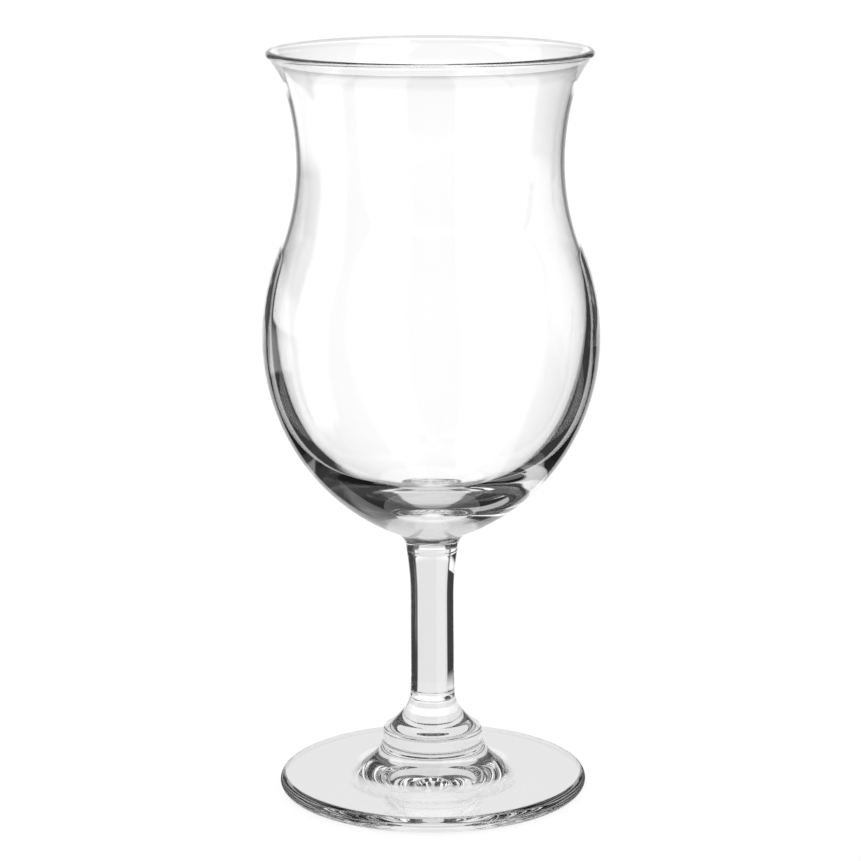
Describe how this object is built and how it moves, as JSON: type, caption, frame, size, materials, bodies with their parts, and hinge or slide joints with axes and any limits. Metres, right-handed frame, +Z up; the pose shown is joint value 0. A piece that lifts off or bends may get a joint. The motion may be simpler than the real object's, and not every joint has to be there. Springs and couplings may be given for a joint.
{
  "type": "hurricane glass",
  "caption": "Clear stemmed cocktail glass with a flared lip, drawn-in waist, round belly, solid stem and stepped round foot.",
  "frame": {"origin": "centre of the flat ring under the foot, on the plane that the glass stands on", "axes": "+Z up along the glass's axis, from the foot to the lip; X and Y are any two directions across it, as it is a body of revolution"},
  "size_m": [0.0828, 0.0828, 0.185],
  "materials": {
    "clear_glass": "fire-polished, clear and colourless"
  },
  "bodies": {
    "root": {"bowl": "clear_glass", "stem": "clear_glass", "foot": "clear_glass"}
  },
  "joints": []
}
